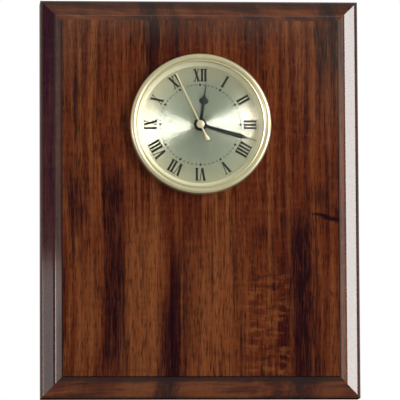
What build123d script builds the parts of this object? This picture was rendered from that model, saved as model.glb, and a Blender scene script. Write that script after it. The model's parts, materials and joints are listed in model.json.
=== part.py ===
import os
from math import cos, hypot, radians, sin, sqrt

from build123d import *

os.makedirs("parts", exist_ok=True)

# Frame: the board stands upright with its face towards -Y, and the origin is the middle of its underside.
# Lengths are in millimetres and angles in degrees. Heights on the clock are measured from the board's face.

# Board
board_width = 203.2
board_height = 254.0
board_thick = 25.4
mould_width = 13.2
mould_depth = 7.0
arris_run = 1.9
arris_drop = 1.6
band_width = 3.3
band_drop = 0.7
quirk_drop = 1.5
quirk_run = 0.3
cove_sag = 0.7
clock_drop = 80.0
keyhole_drop = 28.0
keyhole_radius = 4.75
keyhole_slot = 4.8
keyhole_rise = 13.0
keyhole_lip = 4.5
keyhole_depth = 9.5

# Clearances
overrun = 1.0
running_fit = 0.05
snug_fit = 0.02
loose_fit = 0.3

# Bezel, lens and reflector ring
bezel_overlap = 5.0
bead_radius = 2.1
bead_height = 3.5
bead_sweep = 155.0
bead_steps = 8
lip_height = 4.7
lip_thick = 0.8
skirt_thick = 0.65
skirt_depth = 4.5
pocket_floor = 0.4
lens_rim = 0.6
lens_thick = 1.5
dial_recess = 1.2
dial_margin = 1.5
ring_lens_inset = 0.1

# Case of the insert
cup_room = 0.4
cup_ledge = 1.2
cup_wall = 1.2
cup_back_thick = 1.6
band_room = 1.0
band_start = 6.0
band_length = 8.0

# Movement stack, from the dial to the back
dial_thick = 0.5
plate_thick = 1.5
wheel_thick = 0.9
wheel_gap = 0.35
bridge_thick = 1.2
magnet_thick = 1.1
stator_thick = 1.0
cover_thick = 1.2
screw_head_thick = 1.0
knob_thick = 3.0
knob_gap = 0.4

# Arbors and pipes
second_arbor_radius = 0.7
tube_wall = 0.6
pipe_wall = 0.7
arbor_radius = 0.55
pivot_radius = 0.4
pivot_length = 0.8
knob_arbor_radius = 1.0

# Gear train
minute_wheel_radius = 7.2
centre_wheel_radius = 8.0
seconds_wheel_radius = 6.0
middle_wheel_radius = 6.0
motion_bearing = 0.0
third_bearing = 180.0
middle_bearing = 110.0
rotor_bearing = 60.0
cannon_teeth, minute_wheel_teeth = 12, 36
minute_pinion_teeth, hour_wheel_teeth = 10, 40
centre_wheel_teeth, third_pinion_teeth = 64, 8
third_wheel_teeth, seconds_pinion_teeth = 60, 8
seconds_wheel_teeth, middle_pinion_teeth = 40, 8
middle_wheel_teeth, rotor_pinion_teeth = 48, 8
tooth_top_share = 0.9
tooth_foot_share = 1.2
tooth_tip_share = 0.18
tooth_root_share = 0.5

# Hands, with the time that they show
hour_angle = 8.5
minute_angle = 106.0
second_angle = 334.6
hand_thick = 0.3
hand_gap = 0.6
hour_length = 26.2
hour_stem_width = 1.8
hour_hub_radius = 4.1
spade_width = 5.8
spade_start_share = 0.51
spade_wide_share = 0.6
spade_end_share = 0.79
spade_neck_share = 0.13
minute_tip_gap = 0.2
minute_root_width = 1.6
minute_leaf_width = 2.6
minute_hub_radius = 3.4
leaf_wide_share = 0.74
leaf_end_share = 0.82
tip_width = 0.4
second_tip_gap = 1.5
second_tail = 11.5
second_width = 1.0
second_weight_width = 2.4
second_weight_share = 0.58
second_cap_radius = 2.5
second_cap_rise = 0.5

# Plates, posts and screws
post_width = 4.0
post_neck_width = 2.8
post_gap = 0.5
post_reach = 8.7
cover_margin = 3.0
screw_radius = 0.7
screw_head_radius = 1.7
screw_length = 5.0
screw_slot_width = 0.5
screw_slot_depth = 0.4

# Motor
magnet_radius = 2.6
stator_gap = 0.4
stator_half_width = 11.5
stator_arm = 4.0
stator_base = 4.5
core_width = 4.0
core_thick = 1.0
bobbin_wall = 0.5
bobbin_flange = 1.2
flange_thick = 0.8
winding_depth = 0.9

# Circuit
circuit_width = 9.0
circuit_height = 22.0
circuit_lift = 2.0
circuit_thick = 1.0
can_radius = 1.5
can_length = 8.0
can_lift = 0.1
chip_radius = 2.8
chip_rise = 1.2

# Battery and its door
battery_radius = 6.0
battery_length = 30.2
battery_nub_radius = 2.0
battery_nub_length = 0.8
battery_drop = 23.47
battery_gap = 0.2
contact_thick = 0.4
contact_width = 9.0
contact_foot = 2.6
battery_clear = 2.0
window_margin = 0.4
window_end = 1.6
door_ledge = 1.3
door_thick = 0.8
door_grip_count = 3
door_grip_width = 0.8
door_grip_length = 8.0
door_grip_depth = 0.3

# Setting knob
knob_radius = 6.0
knob_notch_radius = 1.1
knob_notch_count = 10

# Places worked out from the sizes above
clock_height = board_height - clock_drop
face_y = -board_thick / 2
clock_origin = (0, face_y, clock_height)
clock_plane = Plane(origin=clock_origin, x_dir=(1, 0, 0), z_dir=(0, -1, 0))
section_plane = Plane(origin=clock_origin, x_dir=(1, 0, 0), z_dir=(0, 0, -1))
back_plane = Plane(origin=(0, board_thick / 2, 0), x_dir=(-1, 0, 0), z_dir=(0, 1, 0))
clock_axis = Axis(clock_origin, (0, -1, 0))

dial_top = -dial_recess
dial_under = dial_top - dial_thick
plate_under = dial_under - plate_thick
layer_step = wheel_thick + wheel_gap
hour_layer = plate_under - wheel_gap
cannon_layer = hour_layer - layer_step
centre_layer = cannon_layer - layer_step
third_layer = centre_layer - layer_step
bridge_top = third_layer - layer_step
bridge_under = bridge_top - bridge_thick
seconds_layer = bridge_under - wheel_gap
middle_layer = seconds_layer - layer_step
magnet_top = middle_layer - layer_step
cover_top = magnet_top - magnet_thick - wheel_gap
cover_under = cover_top - cover_thick
stator_top = cover_top + stator_thick
battery_height = plate_under - battery_gap - battery_radius
cup_floor = min(cover_under - screw_head_thick, battery_height - battery_radius) - wheel_gap
cup_back = cup_floor - cup_back_thick
knob_top = cup_back - knob_gap

hour_hand_top = dial_top + hand_gap + hand_thick
minute_hand_top = hour_hand_top + hand_gap + hand_thick
second_hand_top = minute_hand_top + hand_gap + hand_thick

tube_bore = second_arbor_radius + running_fit
tube_radius = tube_bore + tube_wall
pipe_bore = tube_radius + running_fit
pipe_radius = pipe_bore + pipe_wall


def polar(distance, bearing, start=(0, 0)):
    return (start[0] + distance * cos(radians(bearing)), start[1] + distance * sin(radians(bearing)))


def mate_phase(teeth, mate_teeth, bearing, mate_turn=0.0):
    # Turn of a wheel whose gap faces the tooth of its mate, which lies at the opposite bearing
    return bearing + 180 - 360 / teeth * (0.5 - (bearing - mate_turn) * mate_teeth / 360)


def gear_points(teeth, module, centre, turn):
    pitch_radius = teeth * module / 2
    foot = pitch_radius - tooth_foot_share * module
    top = pitch_radius + tooth_top_share * module
    corners = (
        (foot, -tooth_root_share / 2),
        (top, -tooth_tip_share / 2),
        (top, tooth_tip_share / 2),
        (foot, tooth_root_share / 2),
    )
    return [
        polar(radius, turn + (tooth + across) * 360 / teeth, centre)
        for tooth in range(teeth)
        for radius, across in corners
    ]


def level(height):
    return clock_plane.offset(height)


def hand_plane(angle, height):
    # Plane whose y points along a hand that has turned clockwise from twelve
    turned = (cos(radians(angle)), 0, -sin(radians(angle)))
    return Plane(origin=clock_origin, x_dir=turned, z_dir=(0, -1, 0)).offset(height)


def across_plane(x, y, height):
    # Plane that looks along +X, with x up and y towards the face, at a point of the clock
    return Plane(origin=(x, face_y - height, clock_height + y), x_dir=(0, 0, 1), z_dir=(1, 0, 0))


def save(builder, name):
    builder.part.label = name
    export_step(builder.part, f"parts/{name}.step")


# Train: each module follows its wheel, and each distance follows its pair of wheels
cannon_module = 2 * minute_wheel_radius / minute_wheel_teeth
motion_distance = cannon_module * (cannon_teeth + minute_wheel_teeth) / 2
hour_module = 2 * motion_distance / (minute_pinion_teeth + hour_wheel_teeth)
centre_module = 2 * centre_wheel_radius / centre_wheel_teeth
third_distance = centre_module * (centre_wheel_teeth + third_pinion_teeth) / 2
third_module = 2 * third_distance / (third_wheel_teeth + seconds_pinion_teeth)
seconds_module = 2 * seconds_wheel_radius / seconds_wheel_teeth
middle_distance = seconds_module * (seconds_wheel_teeth + middle_pinion_teeth) / 2
rotor_module = 2 * middle_wheel_radius / middle_wheel_teeth
rotor_distance = rotor_module * (middle_wheel_teeth + rotor_pinion_teeth) / 2
knob_at = polar(motion_distance, motion_bearing)
third_at = polar(third_distance, third_bearing)
middle_at = polar(middle_distance, middle_bearing)
rotor_at = polar(rotor_distance, rotor_bearing, middle_at)

# Posts stand outside the third wheel and above the battery
third_tip_radius = third_module * (third_wheel_teeth / 2 + tooth_top_share)
post_x = third_distance + third_tip_radius + post_gap + post_width / 2
post_low = battery_radius + battery_clear + cover_margin - battery_drop
post_high = rotor_at[1] + post_reach
post_places = [(x, y) for x in (-post_x, post_x) for y in (post_low, post_high)]

# Coil, above the cover
bobbin_bore = (core_width + 2 * snug_fit, core_thick + 2 * snug_fit)
bobbin_tube = (bobbin_bore[0] + 2 * bobbin_wall, bobbin_bore[1] + 2 * bobbin_wall)
bobbin_rim = (bobbin_tube[0] + 2 * bobbin_flange, bobbin_tube[1] + 2 * bobbin_flange)
core_y = post_high + cover_margin + loose_fit + bobbin_rim[0] / 2
stator_top_y = core_y + core_width / 2

# Battery door, and the cup that clears the door, the coil and the cover
window_width = battery_length + 2 * (contact_thick + window_end)
window_height = 2 * (battery_radius + window_margin)
door_width = window_width + 2 * door_ledge
door_height = window_height + 2 * door_ledge
contents_radius = max(
    hypot(door_width / 2, battery_drop + door_height / 2),
    hypot(rotor_at[0] + stator_half_width, core_y + bobbin_rim[0] / 2),
    hypot(post_x + cover_margin, post_high + cover_margin),
)
cup_ledge_radius = contents_radius + cup_room
cup_inner = cup_ledge_radius + cup_ledge
cup_radius = cup_inner + cup_wall
bore_radius = cup_radius + band_room

# Front of the insert, from the bore outwards
bezel_radius = bore_radius + bezel_overlap
lip_radius = bore_radius
lens_radius = lip_radius + lens_rim
lens_top = lip_height - lip_thick
lens_under = lens_top - lens_thick
dial_radius = cup_radius - loose_fit
dial_sight_radius = cup_radius - dial_margin
minute_length = dial_sight_radius - minute_tip_gap
second_length = dial_sight_radius - second_tip_gap


# Board: two moulded lengths crossed, so that the mouldings meet in mitres
def moulded_section(span):
    edge = span / 2
    front = -board_thick / 2
    side_top = (edge, front + mould_depth)
    cove_foot = (edge - arris_run, side_top[1] - arris_drop)
    cove_head = (edge - mould_width + quirk_run + band_width, front + quirk_drop + band_drop)
    cove_middle = (
        (cove_foot[0] + cove_head[0]) / 2 - cove_sag / 2,
        (cove_foot[1] + cove_head[1]) / 2 + cove_sag,
    )
    band_head = (edge - mould_width + quirk_run, front + quirk_drop)
    with BuildSketch() as section:
        with BuildLine():
            Line((0, board_thick / 2), (edge, board_thick / 2))
            Line((edge, board_thick / 2), side_top)
            RadiusArc(side_top, cove_foot, -max(arris_run, arris_drop) * 2)
            ThreePointArc(cove_foot, cove_middle, cove_head)
            Line(cove_head, band_head)
            Line(band_head, (edge - mould_width, front))
            Line((edge - mould_width, front), (0, front))
            mirror(about=Plane.YZ)
        make_face()
    return section.sketch


upright_section = moulded_section(board_width)
level_section = moulded_section(board_height)
side_plane = Plane(origin=(board_width / 2, 0, board_height / 2), x_dir=(0, 0, 1), z_dir=(-1, 0, 0))
with BuildPart() as plaque_board:
    with BuildSketch(Plane.XY):
        add(upright_section)
    extrude(amount=board_height)
    with BuildSketch(side_plane):
        add(level_section)
    extrude(amount=board_width, mode=Mode.INTERSECT)
    with BuildSketch(clock_plane):
        Circle(bore_radius)
    extrude(amount=-board_thick, mode=Mode.SUBTRACT)
    with BuildSketch(back_plane):
        with Locations((0, board_height - keyhole_drop)):
            Circle(keyhole_radius)
    extrude(amount=-keyhole_depth, mode=Mode.SUBTRACT)
    with BuildSketch(back_plane):
        with Locations((0, board_height - keyhole_drop + keyhole_rise / 2)):
            SlotCenterToCenter(keyhole_rise, keyhole_slot, rotation=90)
    extrude(amount=-keyhole_depth, mode=Mode.SUBTRACT)
    with BuildSketch(back_plane.offset(-keyhole_lip)):
        with Locations((0, board_height - keyhole_drop + keyhole_rise / 2)):
            SlotCenterToCenter(keyhole_rise, 2 * keyhole_radius, rotation=90)
    extrude(amount=keyhole_lip - keyhole_depth, mode=Mode.SUBTRACT)
save(plaque_board, "plaque_board")

# Bezel: a round bead, a groove and a lip over the lens, with a skirt round the cup
skirt_bore = cup_radius + running_fit
skirt_radius = skirt_bore + skirt_thick
pocket_radius = lens_radius + running_fit
bead_middle = (bezel_radius - bead_radius, bead_height)
bead_angles = [bead_sweep * step / bead_steps for step in range(bead_steps + 1)]
with BuildPart() as bezel:
    with BuildSketch(section_plane):
        with BuildLine():
            Polyline(
                (skirt_radius, 0),
                (bezel_radius, 0),
                *[polar(bead_radius, angle, bead_middle) for angle in bead_angles],
                (lip_radius, lip_height),
                (lip_radius, lens_top),
                (pocket_radius, lens_top),
                (pocket_radius, pocket_floor),
                (skirt_bore, pocket_floor),
                (skirt_bore, -skirt_depth),
                (skirt_radius, -skirt_depth),
                close=True,
            )
        make_face()
    revolve(axis=clock_axis)
save(bezel, "bezel")

# Lens: flat crystal behind the lip
with BuildPart() as lens:
    with BuildSketch(level(lens_top)):
        Circle(lens_radius)
    extrude(amount=-lens_thick)
save(lens, "lens")

# Reflector ring: a cone from the lens down to the dial
ring_rim = lens_radius - loose_fit
with BuildPart() as dial_ring:
    with BuildSketch(section_plane):
        with BuildLine():
            Polyline(
                (dial_sight_radius, dial_top),
                (cup_radius, dial_top),
                (cup_radius, pocket_floor),
                (ring_rim, pocket_floor),
                (ring_rim, lens_under),
                (lip_radius - ring_lens_inset, lens_under),
                close=True,
            )
        make_face()
    revolve(axis=clock_axis)
save(dial_ring, "dial_ring")

# Dial
with BuildPart() as dial:
    with BuildSketch(level(dial_top)):
        Circle(dial_radius)
        Circle(pipe_radius + loose_fit, mode=Mode.SUBTRACT)
    extrude(amount=-dial_thick)
save(dial, "dial")

# Hour hand: a spade on a straight stem
stem = hour_stem_width / 2
spade = spade_width / 2
tip = tip_width / 2
with BuildPart() as hour_hand:
    with BuildSketch(hand_plane(hour_angle, hour_hand_top)):
        with BuildLine():
            Polyline((0, 0), (stem, 0), (stem, hour_length * spade_start_share))
            Spline(
                (stem, hour_length * spade_start_share),
                (spade, hour_length * spade_wide_share),
                (spade * spade_neck_share, hour_length * spade_end_share),
                tangents=((1, 0), (0, 1)),
            )
            Polyline(
                (spade * spade_neck_share, hour_length * spade_end_share),
                (tip, hour_length),
                (0, hour_length),
            )
            mirror(about=Plane.YZ)
        make_face()
        Circle(hour_hub_radius)
        Circle(pipe_radius + snug_fit, mode=Mode.SUBTRACT)
    extrude(amount=-hand_thick)
save(hour_hand, "hour_hand")

# Minute hand: a slender leaf with a needle point
leaf = minute_leaf_width / 2
with BuildPart() as minute_hand:
    with BuildSketch(hand_plane(minute_angle, minute_hand_top)):
        with BuildLine():
            Polyline(
                (0, 0),
                (minute_root_width / 2, 0),
                (leaf, minute_length * leaf_wide_share),
                (tip, minute_length * leaf_end_share),
                (tip, minute_length),
                (0, minute_length),
            )
            mirror(about=Plane.YZ)
        make_face()
        Circle(minute_hub_radius)
        Circle(tube_radius + snug_fit, mode=Mode.SUBTRACT)
    extrude(amount=-hand_thick)
save(minute_hand, "minute_hand")

# Second hand: a needle with a pear-shaped counterweight and a cap over its arbor
second_half = second_width / 2
weight_half = second_weight_width / 2
with BuildPart() as second_hand:
    with BuildSketch(hand_plane(second_angle, second_hand_top)):
        with BuildLine():
            Polyline((0, second_length), (second_half, second_length), (second_half, 0))
            Line((second_half, 0), (second_half, -second_tail * second_weight_share))
            Line(
                (second_half, -second_tail * second_weight_share),
                (weight_half, weight_half - second_tail),
            )
            RadiusArc((weight_half, weight_half - second_tail), (0, -second_tail), weight_half)
            mirror(about=Plane.YZ)
        make_face()
        Circle(second_cap_radius)
    extrude(amount=-hand_thick)
    with BuildSketch(level(second_hand_top)):
        Circle(second_cap_radius)
    extrude(amount=second_cap_rise)
    with BuildSketch(level(second_hand_top - hand_thick)):
        Circle(second_arbor_radius + snug_fit)
    extrude(amount=hand_thick, mode=Mode.SUBTRACT)
save(second_hand, "second_hand")

# Cup: carries the plate on a ledge, and has a window for the battery and a hole for the knob
with BuildPart() as case_cup:
    with BuildSketch(section_plane):
        with BuildLine():
            Polyline(
                (0, cup_back),
                (cup_radius, cup_back),
                (cup_radius, dial_under),
                (cup_inner, dial_under),
                (cup_inner, plate_under),
                (cup_ledge_radius, plate_under),
                (cup_ledge_radius, cup_floor),
                (0, cup_floor),
                close=True,
            )
        make_face()
    revolve(axis=clock_axis)
    with BuildSketch(level(cup_floor)):
        with Locations((0, -battery_drop)):
            Rectangle(window_width, window_height)
        with Locations(knob_at):
            Circle(knob_arbor_radius + loose_fit)
    extrude(amount=-cup_back_thick, mode=Mode.SUBTRACT)
    with BuildSketch(level(cup_back)):
        with Locations((0, -battery_drop)):
            Rectangle(door_width, door_height)
    extrude(amount=door_thick, mode=Mode.SUBTRACT)
save(case_cup, "case_cup")

# Friction band: a soft sleeve that grips the bore
with BuildPart() as friction_band:
    with BuildSketch(level(-band_start)):
        Circle(bore_radius - running_fit)
        Circle(cup_radius + running_fit, mode=Mode.SUBTRACT)
    extrude(amount=-band_length)
save(friction_band, "friction_band")

# Battery door: a flush hatch with grip grooves
with BuildPart() as battery_door:
    with BuildSketch(level(cup_back)):
        with Locations((0, -battery_drop)):
            Rectangle(door_width - 2 * loose_fit, door_height - 2 * loose_fit)
    extrude(amount=door_thick)
    with BuildSketch(level(cup_back)):
        with Locations((0, -battery_drop)):
            with GridLocations(0, 2 * door_grip_width, 1, door_grip_count):
                Rectangle(door_grip_length, door_grip_width)
    extrude(amount=door_grip_depth, mode=Mode.SUBTRACT)
save(battery_door, "battery_door")

# Movement plate: a disc with stepped posts that carry the bridge and the cover
with BuildPart() as movement_plate:
    with BuildSketch(level(dial_under)):
        Circle(cup_inner - running_fit)
    extrude(amount=-plate_thick)
    with BuildSketch(level(plate_under)):
        with Locations(*post_places):
            Rectangle(post_width, post_width)
    extrude(amount=bridge_top - plate_under)
    with BuildSketch(level(bridge_top)):
        with Locations(*post_places):
            Rectangle(post_neck_width, post_neck_width)
    extrude(amount=cover_top - bridge_top)
    with BuildSketch(level(cover_top)):
        with Locations(*post_places):
            Circle(screw_radius + snug_fit)
    extrude(amount=screw_length, mode=Mode.SUBTRACT)
    with BuildSketch(level(dial_under)):
        Circle(pipe_radius + running_fit)
        with Locations(third_at, knob_at):
            Circle(pivot_radius + running_fit)
    extrude(amount=-plate_thick, mode=Mode.SUBTRACT)
save(movement_plate, "movement_plate")

# Bridge: sits on the steps of the posts and carries the third, intermediate and rotor pivots
cover_width = 2 * (post_x + cover_margin)
cover_height = post_high - post_low + 2 * cover_margin
cover_middle = (0, (post_high + post_low) / 2)
neck_hole = post_neck_width + 2 * snug_fit
with BuildPart() as train_bridge:
    with BuildSketch(level(bridge_top)):
        with Locations(cover_middle):
            Rectangle(cover_width, cover_height)
        Circle(second_arbor_radius + running_fit, mode=Mode.SUBTRACT)
        with Locations(third_at, middle_at, rotor_at):
            Circle(pivot_radius + running_fit, mode=Mode.SUBTRACT)
        with Locations(knob_at):
            Circle(knob_arbor_radius + running_fit, mode=Mode.SUBTRACT)
        with Locations(*post_places):
            Rectangle(neck_hole, neck_hole, mode=Mode.SUBTRACT)
    extrude(amount=-bridge_thick)
save(train_bridge, "train_bridge")

# Cover: closes the train at the back
with BuildPart() as movement_cover:
    with BuildSketch(level(cover_top)):
        with Locations(cover_middle):
            Rectangle(cover_width, cover_height)
        with Locations((0, 0), middle_at, rotor_at):
            Circle(pivot_radius + running_fit, mode=Mode.SUBTRACT)
        with Locations(knob_at):
            Circle(knob_arbor_radius + running_fit, mode=Mode.SUBTRACT)
        with Locations(*post_places):
            Circle(screw_radius + loose_fit, mode=Mode.SUBTRACT)
    extrude(amount=-cover_thick)
save(movement_cover, "movement_cover")

# Screws: four slotted heads over the cover
with BuildPart() as cover_screws:
    with BuildSketch(level(cover_under)):
        with Locations(*post_places):
            Circle(screw_head_radius)
    extrude(amount=-screw_head_thick)
    with BuildSketch(level(cover_under)):
        with Locations(*post_places):
            Circle(screw_radius)
    extrude(amount=cover_thick + screw_length - snug_fit)
    with BuildSketch(level(cover_under - screw_head_thick)):
        with Locations(*post_places):
            Rectangle(2 * screw_head_radius + overrun, screw_slot_width)
    extrude(amount=screw_slot_depth, mode=Mode.SUBTRACT)
save(cover_screws, "cover_screws")

# Hour wheel, with the pipe that carries the hour hand
hour_turn = mate_phase(hour_wheel_teeth, minute_pinion_teeth, motion_bearing + 180)
with BuildPart() as hour_wheel:
    with BuildSketch(level(hour_layer)):
        with BuildLine():
            Polyline(*gear_points(hour_wheel_teeth, hour_module, (0, 0), hour_turn), close=True)
        make_face()
    extrude(amount=-wheel_thick)
    with BuildSketch(level(hour_layer)):
        Circle(pipe_radius)
    extrude(amount=hour_hand_top - hour_layer)
    with BuildSketch(level(hour_hand_top)):
        Circle(pipe_bore)
    extrude(amount=hour_layer - wheel_thick - hour_hand_top, mode=Mode.SUBTRACT)
save(hour_wheel, "hour_wheel")

# Cannon pinion: the tube that carries the minute hand
tube_foot = centre_layer - wheel_thick
with BuildPart() as cannon_pinion:
    with BuildSketch(level(cannon_layer)):
        with BuildLine():
            Polyline(*gear_points(cannon_teeth, cannon_module, (0, 0), 0), close=True)
        make_face()
    extrude(amount=-wheel_thick)
    with BuildSketch(level(minute_hand_top)):
        Circle(tube_radius)
    extrude(amount=tube_foot - minute_hand_top)
    with BuildSketch(level(minute_hand_top)):
        Circle(tube_bore)
    extrude(amount=tube_foot - minute_hand_top, mode=Mode.SUBTRACT)
save(cannon_pinion, "cannon_pinion")

# Centre wheel: grips the tube of the cannon pinion
with BuildPart() as centre_wheel:
    with BuildSketch(level(centre_layer)):
        with BuildLine():
            Polyline(*gear_points(centre_wheel_teeth, centre_module, (0, 0), 0), close=True)
        make_face()
        Circle(tube_radius + snug_fit, mode=Mode.SUBTRACT)
    extrude(amount=-wheel_thick)
save(centre_wheel, "centre_wheel")

# Minute wheel, with its pinion and the arbor that the setting knob turns
minute_turn = mate_phase(minute_wheel_teeth, cannon_teeth, motion_bearing)
with BuildPart() as minute_wheel:
    with BuildSketch(level(cannon_layer)):
        with BuildLine():
            Polyline(*gear_points(minute_wheel_teeth, cannon_module, knob_at, minute_turn), close=True)
        make_face()
    extrude(amount=-wheel_thick)
    with BuildSketch(level(hour_layer)):
        with BuildLine():
            Polyline(*gear_points(minute_pinion_teeth, hour_module, knob_at, 0), close=True)
        make_face()
    extrude(amount=-layer_step)
    with BuildSketch(level(plate_under + pivot_length)):
        with Locations(knob_at):
            Circle(pivot_radius)
    extrude(amount=hour_layer - plate_under - pivot_length)
    with BuildSketch(level(cannon_layer)):
        with Locations(knob_at):
            Circle(knob_arbor_radius)
    extrude(amount=knob_top - knob_thick - cannon_layer)
save(minute_wheel, "minute_wheel")

# Third wheel and pinion
third_turn = mate_phase(third_pinion_teeth, centre_wheel_teeth, third_bearing)
with BuildPart() as third_wheel:
    with BuildSketch(level(third_layer)):
        with BuildLine():
            Polyline(*gear_points(third_wheel_teeth, third_module, third_at, 0), close=True)
        make_face()
    extrude(amount=-wheel_thick)
    with BuildSketch(level(centre_layer)):
        with BuildLine():
            Polyline(*gear_points(third_pinion_teeth, centre_module, third_at, third_turn), close=True)
        make_face()
    extrude(amount=-layer_step)
    with BuildSketch(level(plate_under - wheel_gap)):
        with Locations(third_at):
            Circle(arbor_radius)
    extrude(amount=bridge_top + wheel_gap - plate_under + wheel_gap)
    with BuildSketch(level(plate_under + pivot_length)):
        with Locations(third_at):
            Circle(pivot_radius)
    extrude(amount=bridge_top - plate_under - 2 * pivot_length)
save(third_wheel, "third_wheel")

# Seconds wheel and pinion, on the arbor that carries the second hand
seconds_turn = mate_phase(seconds_pinion_teeth, third_wheel_teeth, third_bearing + 180)
with BuildPart() as seconds_wheel:
    with BuildSketch(level(seconds_layer)):
        with BuildLine():
            Polyline(*gear_points(seconds_wheel_teeth, seconds_module, (0, 0), 0), close=True)
        make_face()
    extrude(amount=-wheel_thick)
    with BuildSketch(level(third_layer)):
        with BuildLine():
            Polyline(*gear_points(seconds_pinion_teeth, third_module, (0, 0), seconds_turn), close=True)
        make_face()
    extrude(amount=-wheel_thick)
    with BuildSketch(level(second_hand_top)):
        Circle(second_arbor_radius)
    extrude(amount=seconds_layer - second_hand_top)
    with BuildSketch(level(seconds_layer)):
        Circle(pivot_radius)
    extrude(amount=cover_top - pivot_length - seconds_layer)
save(seconds_wheel, "seconds_wheel")

# Intermediate wheel and pinion
middle_turn = mate_phase(middle_pinion_teeth, seconds_wheel_teeth, middle_bearing)
with BuildPart() as intermediate_wheel:
    with BuildSketch(level(middle_layer)):
        with BuildLine():
            Polyline(*gear_points(middle_wheel_teeth, rotor_module, middle_at, 0), close=True)
        make_face()
    extrude(amount=-wheel_thick)
    with BuildSketch(level(seconds_layer)):
        with BuildLine():
            Polyline(*gear_points(middle_pinion_teeth, seconds_module, middle_at, middle_turn), close=True)
        make_face()
    extrude(amount=-layer_step)
    with BuildSketch(level(bridge_under + pivot_length)):
        with Locations(middle_at):
            Circle(pivot_radius)
    extrude(amount=cover_top - bridge_under - 2 * pivot_length)
save(intermediate_wheel, "intermediate_wheel")

# Rotor pinion, on the arbor of the magnet
rotor_turn = mate_phase(rotor_pinion_teeth, middle_wheel_teeth, rotor_bearing)
with BuildPart() as rotor_pinion:
    with BuildSketch(level(middle_layer)):
        with BuildLine():
            Polyline(*gear_points(rotor_pinion_teeth, rotor_module, rotor_at, rotor_turn), close=True)
        make_face()
    extrude(amount=-layer_step)
    with BuildSketch(level(bridge_under + pivot_length)):
        with Locations(rotor_at):
            Circle(pivot_radius)
    extrude(amount=cover_top - bridge_under - 2 * pivot_length)
save(rotor_pinion, "rotor_pinion")

# Rotor magnet
with BuildPart() as rotor_magnet:
    with BuildSketch(level(magnet_top)):
        with Locations(rotor_at):
            Circle(magnet_radius)
            Circle(pivot_radius + snug_fit, mode=Mode.SUBTRACT)
    extrude(amount=-magnet_thick)
save(rotor_magnet, "rotor_magnet")

# Stator: a fork whose foot surrounds the magnet
stator_hole = magnet_radius + stator_gap
stator_low = rotor_at[1] - stator_hole - stator_base / 2
window_low = rotor_at[1] + stator_hole + stator_base / 2
fork_gap = 2 * (stator_half_width - stator_arm)
with BuildPart() as stator:
    with BuildSketch(level(stator_top)):
        with Locations((rotor_at[0], (stator_low + stator_top_y) / 2)):
            Rectangle(2 * stator_half_width, stator_top_y - stator_low)
        with Locations((rotor_at[0], (window_low + stator_top_y + overrun) / 2)):
            Rectangle(fork_gap, stator_top_y + overrun - window_low, mode=Mode.SUBTRACT)
        with Locations(rotor_at):
            Circle(stator_hole, mode=Mode.SUBTRACT)
    extrude(amount=-stator_thick)
save(stator, "stator")

# Coil core: a strip across the ends of the fork
core_height = stator_top + core_thick / 2
core_start = rotor_at[0] - stator_half_width
with BuildPart() as coil_core:
    with BuildSketch(across_plane(core_start, core_y, core_height)):
        Rectangle(core_width, core_thick)
    extrude(amount=2 * stator_half_width)
save(coil_core, "coil_core")

# Coil bobbin: a square tube with a flange at each end
bobbin_half = fork_gap / 2 - loose_fit
bobbin_start = rotor_at[0] - bobbin_half
with BuildPart() as coil_bobbin:
    with BuildSketch(across_plane(bobbin_start, core_y, core_height)):
        Rectangle(*bobbin_tube)
    extrude(amount=2 * bobbin_half)
    for flange_x in (bobbin_start, bobbin_start + 2 * bobbin_half - flange_thick):
        with BuildSketch(across_plane(flange_x, core_y, core_height)):
            RectangleRounded(*bobbin_rim, bobbin_flange / 2)
        extrude(amount=flange_thick)
    with BuildSketch(across_plane(bobbin_start, core_y, core_height)):
        Rectangle(*bobbin_bore)
    extrude(amount=2 * bobbin_half, mode=Mode.SUBTRACT)
save(coil_bobbin, "coil_bobbin")

# Coil winding: copper between the flanges
winding_size = (bobbin_tube[0] + 2 * winding_depth, bobbin_tube[1] + 2 * winding_depth)
with BuildPart() as coil_winding:
    with BuildSketch(across_plane(bobbin_start + flange_thick, core_y, core_height)):
        RectangleRounded(*winding_size, winding_depth)
        Rectangle(*bobbin_tube, mode=Mode.SUBTRACT)
    extrude(amount=2 * (bobbin_half - flange_thick))
save(coil_winding, "coil_winding")

# Circuit board, on the back of the plate
circuit_corner = circuit_height / 2 + circuit_lift
circuit_left = sqrt((cup_ledge_radius - loose_fit) ** 2 - circuit_corner**2)
circuit_at = (circuit_width / 2 - circuit_left, circuit_lift)
circuit_under = plate_under - circuit_thick
with BuildPart() as circuit_board:
    with BuildSketch(level(plate_under)):
        with Locations(circuit_at):
            Rectangle(circuit_width, circuit_height)
    extrude(amount=-circuit_thick)
save(circuit_board, "circuit_board")

# Quartz can, lying on the circuit board
can_height = circuit_under - can_lift - can_radius
can_at = (circuit_at[0] - can_length / 2, circuit_at[1] + circuit_height / 4, can_height)
with BuildPart() as quartz_can:
    with BuildSketch(across_plane(*can_at)):
        Circle(can_radius)
    extrude(amount=can_length)
save(quartz_can, "quartz_can")

# Chip under a round drop of resin
with BuildPart() as driver_chip:
    with BuildSketch(level(circuit_under)):
        with Locations((circuit_at[0], circuit_at[1] - circuit_height / 4)):
            Circle(chip_radius)
    extrude(amount=-chip_rise, taper=30)
save(driver_chip, "driver_chip")

# Battery: a round cell lying across the lower part of the cup
battery_start = -battery_length / 2
cell_length = battery_length - battery_nub_length
with BuildPart() as battery:
    with BuildSketch(across_plane(battery_start, -battery_drop, battery_height)):
        Circle(battery_radius)
    extrude(amount=cell_length)
    with BuildSketch(across_plane(battery_start + cell_length, -battery_drop, battery_height)):
        Circle(battery_nub_radius)
    extrude(amount=battery_nub_length)
save(battery, "battery")


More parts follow.
